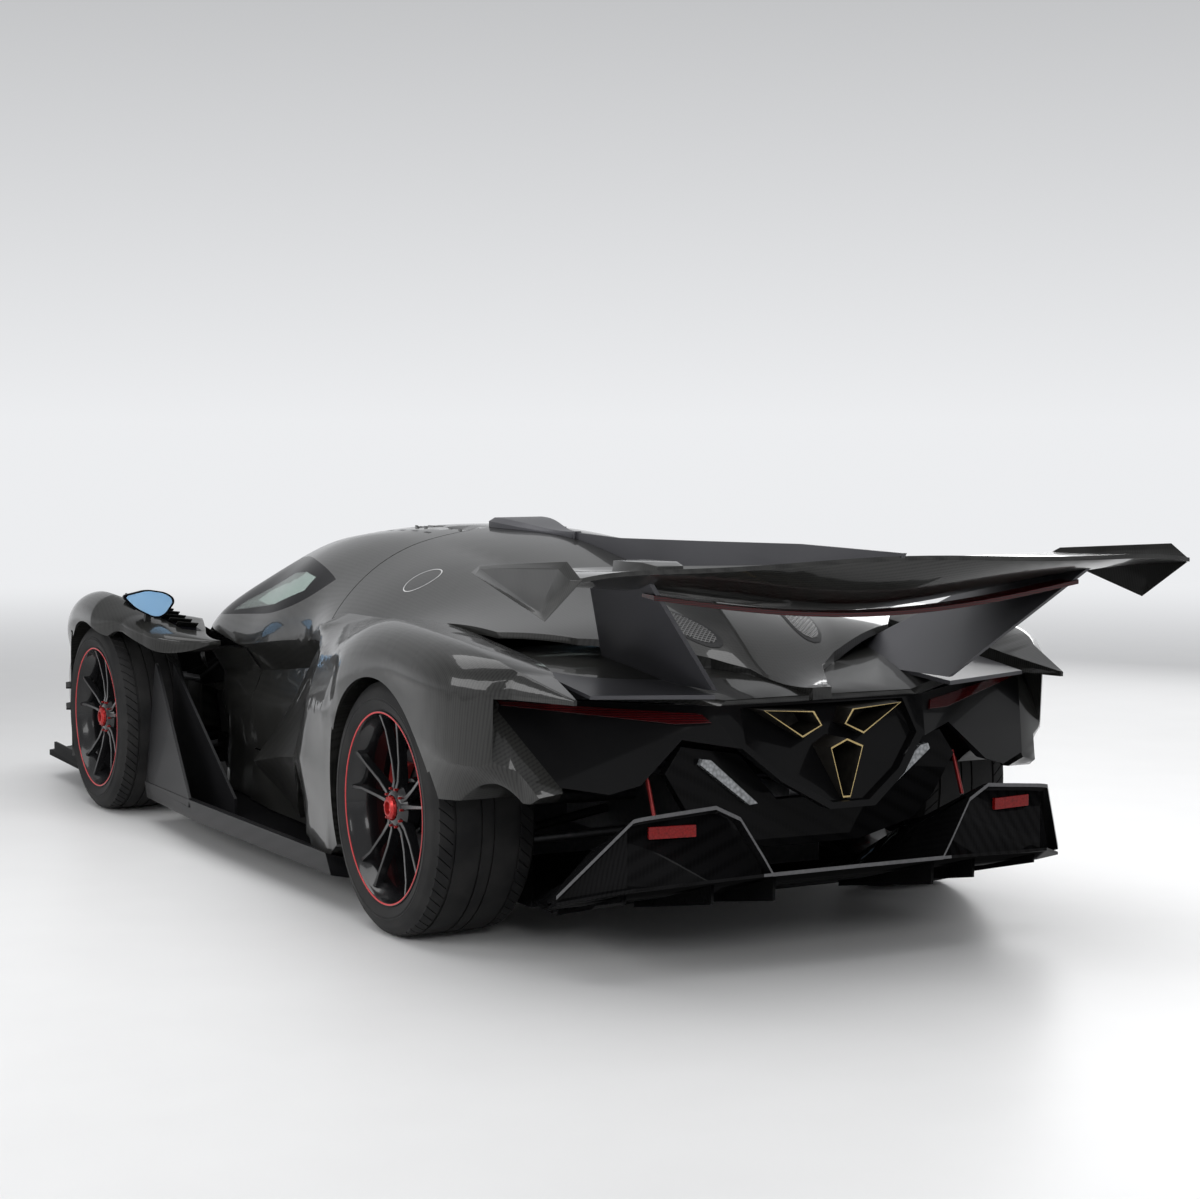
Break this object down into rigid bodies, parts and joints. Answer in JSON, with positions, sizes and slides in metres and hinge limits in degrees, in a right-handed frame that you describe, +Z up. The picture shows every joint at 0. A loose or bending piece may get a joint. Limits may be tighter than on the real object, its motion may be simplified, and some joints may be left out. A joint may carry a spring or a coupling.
{
  "type": "hypercar",
  "caption": "Low mid-engined two-seat coupe with exposed-carbon body, gull-wing doors, shark fin, high rear wing and deep diffuser.",
  "frame": {"origin": "on the ground, under the middle of the car's box, midway between the axles", "axes": "+Z up, front towards -Y, the car's left side towards +X"},
  "size_m": [2.001, 5.0671, 1.134],
  "materials": {
    "carbon_gloss": "clear-coated carbon weave",
    "carbon_satin": "satin carbon",
    "glass": "clear, faint green",
    "mirror_glass": "gloss shell with blue mirror glass",
    "tyre": "rubber",
    "rim_black": "gloss black",
    "alloy": "machined",
    "lamp_red": "clear dark red",
    "lamp_clear": "clear fluted",
    "exhaust_metal": "heat-tinted",
    "seat_leather": "stitched",
    "cabin_trim": "suede-like"
  },
  "bodies": {
    "chassis": {"floor": "carbon_satin", "tub": "carbon_satin", "front_splitter": "carbon_satin", "front_bumper": "carbon_gloss", "nose": "carbon_gloss", "front_fender_left": "carbon_gloss", "front_fender_right": "carbon_gloss", "headlamps": "lamp_clear", "windscreen": "glass", "roof_frame": "carbon_gloss", "roof_scoop": "carbon_satin", "shark_fin": "carbon_satin", "engine_cover": "carbon_gloss", "engine": "alloy", "rear_deck": "carbon_gloss", "rear_fender_left": "carbon_gloss", "rear_fender_right": "carbon_gloss", "tail_fascia": "carbon_gloss", "tail_lamps": "lamp_red", "rear_fog_lamps": "lamp_clear", "exhaust": "exhaust_metal", "tail_carrier": "carbon_satin", "diffuser": "carbon_gloss", "rear_wing": "carbon_gloss", "wing_endplates": "carbon_gloss", "wing_struts": "carbon_satin", "wing_light": "lamp_red", "side_skirts": "carbon_satin", "skirt_fins": "carbon_satin", "mirrors": "mirror_glass", "front_wishbones": "alloy", "rear_wishbones": "alloy", "knuckles_rear": "alloy", "rear_reflectors": "lamp_red", "canards": "carbon_satin", "seats": "seat_leather", "cockpit": "cabin_trim"},
    "door_left": {"door_left": "carbon_gloss", "door_glass_left": "glass"},
    "door_right": {"door_right": "carbon_gloss", "door_glass_right": "glass"},
    "knuckle_left": {"knuckle_front_left": "alloy"},
    "knuckle_right": {"knuckle_front_right": "alloy"},
    "wheel_front_left_body": {"tyre_front_left": "tyre", "wheel_front_left": "rim_black"},
    "wheel_front_right_body": {"tyre_front_right": "tyre", "wheel_front_right": "rim_black"},
    "wheel_rear_left_body": {"tyre_rear_left": "tyre", "wheel_rear_left": "rim_black"},
    "wheel_rear_right_body": {"tyre_rear_right": "tyre", "wheel_rear_right": "rim_black"}
  },
  "joints": [
    {"name": "door_left_hinge", "type": "hinge", "parent": "chassis", "child": "door_left", "pos_m": [0.1777, 0.0775, 1.0985], "axis": [0, -1, 0], "range_deg": [0, 75]},
    {"name": "door_right_hinge", "type": "hinge", "parent": "chassis", "child": "door_right", "pos_m": [-0.1777, 0.0775, 1.0985], "axis": [0, 1, 0], "range_deg": [0, 75]},
    {"name": "steering_left", "type": "hinge", "parent": "chassis", "child": "knuckle_left", "pos_m": [0.7755, -1.35, 0.347], "axis": [0, 0, 1], "range_deg": [-24, 24]},
    {"name": "steering_right", "type": "hinge", "parent": "chassis", "child": "knuckle_right", "pos_m": [-0.7755, -1.35, 0.347], "axis": [0, 0, 1], "range_deg": [-24, 24]},
    {"name": "wheel_front_left_spin", "type": "hinge", "parent": "knuckle_left", "child": "wheel_front_left_body", "pos_m": [0.8295, -1.35, 0.347], "axis": [1, 0, 0], "continuous": true},
    {"name": "wheel_front_right_spin", "type": "hinge", "parent": "knuckle_right", "child": "wheel_front_right_body", "pos_m": [-0.8295, -1.35, 0.347], "axis": [1, 0, 0], "continuous": true},
    {"name": "wheel_rear_left_spin", "type": "hinge", "parent": "chassis", "child": "wheel_rear_left_body", "pos_m": [0.8025, 1.35, 0.364], "axis": [1, 0, 0], "continuous": true},
    {"name": "wheel_rear_right_spin", "type": "hinge", "parent": "chassis", "child": "wheel_rear_right_body", "pos_m": [-0.8025, 1.35, 0.364], "axis": [1, 0, 0], "continuous": true}
  ],
  "couplings": [
    {"joint": "steering_right", "follows": "steering_left", "ratio": 1}
  ]
}
